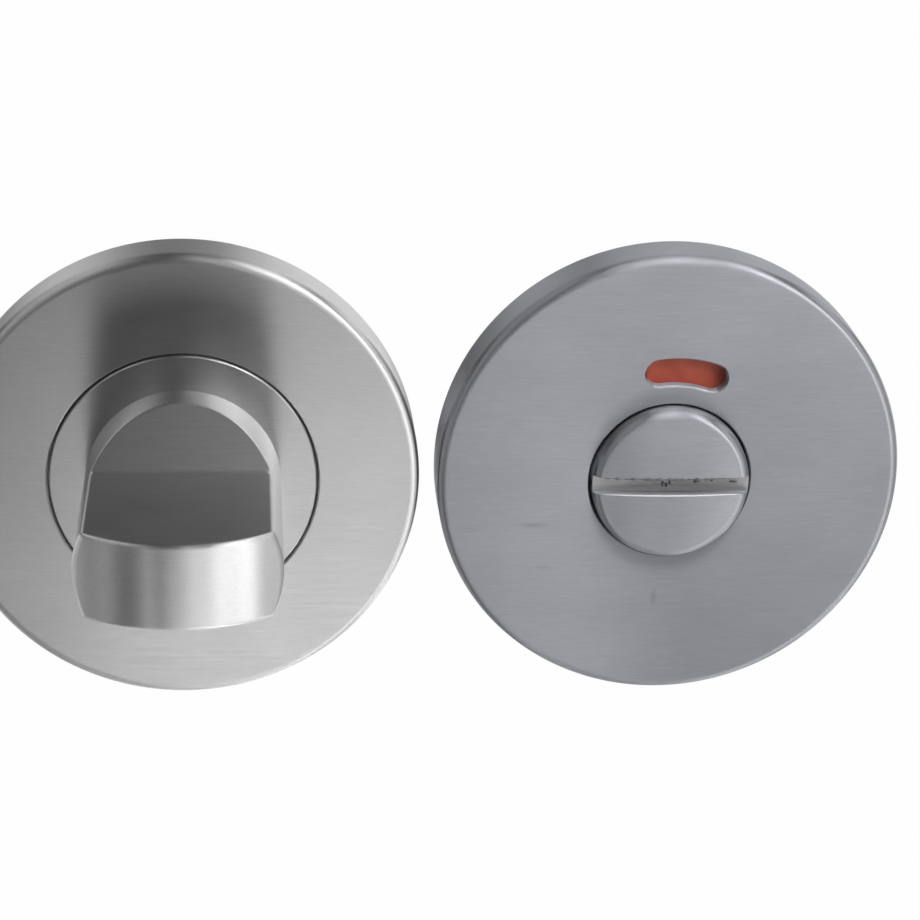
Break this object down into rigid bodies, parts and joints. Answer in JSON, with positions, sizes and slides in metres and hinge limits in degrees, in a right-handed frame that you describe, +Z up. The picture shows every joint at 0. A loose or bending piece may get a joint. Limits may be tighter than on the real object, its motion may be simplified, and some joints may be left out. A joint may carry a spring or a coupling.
{
  "type": "bathroom thumb turn lock",
  "caption": "Satin steel bathroom lock set: a round rose with a flat-bladed thumb turn, and its matching rose with a coin-slot release and a red indicator window.",
  "frame": {"origin": "on the thumb turn's axis at the door face, midway between its two fixing bolts", "axes": "+Z up, +Y into the door along the turn's axis, +X towards the release half beside it"},
  "size_m": [0.106, 0.08, 0.052],
  "materials": {
    "turn_satin_steel": "satin",
    "release_satin_steel": "satin",
    "zinc_casting": "matte",
    "plated_steel": "satin",
    "spring_steel": "satin",
    "acetal": "satin",
    "red_field": "satin",
    "white_field": "satin"
  },
  "bodies": {
    "roses": {"turn_cover": "turn_satin_steel", "turn_base_plate": "zinc_casting", "turn_bush": "acetal", "turn_stop_pin": "plated_steel", "turn_fixing_bolts": "plated_steel", "turn_spring_washer": "spring_steel", "release_cover": "release_satin_steel", "release_base_plate": "zinc_casting", "release_bush": "acetal", "release_posts": "plated_steel", "release_stop_pins": "plated_steel", "release_spring_washer": "spring_steel"},
    "turn": {"turn_knob": "turn_satin_steel", "turn_spindle": "plated_steel", "turn_grub_screw": "spring_steel", "turn_washer": "plated_steel", "turn_circlip": "spring_steel"},
    "release": {"release_disc": "release_satin_steel", "release_indicator": "plated_steel", "release_red_field": "red_field", "release_white_field": "white_field", "release_washer": "plated_steel", "release_circlip": "spring_steel"}
  },
  "joints": [
    {"name": "turn_quarter", "type": "hinge", "parent": "roses", "child": "turn", "pos_m": [0, 0, 0], "axis": [0, -1, 0], "range_deg": [0, 90]},
    {"name": "release_quarter", "type": "hinge", "parent": "roses", "child": "release", "pos_m": [0.054, 0, 0], "axis": [0, 1, 0], "range_deg": [0, 90]}
  ]
}
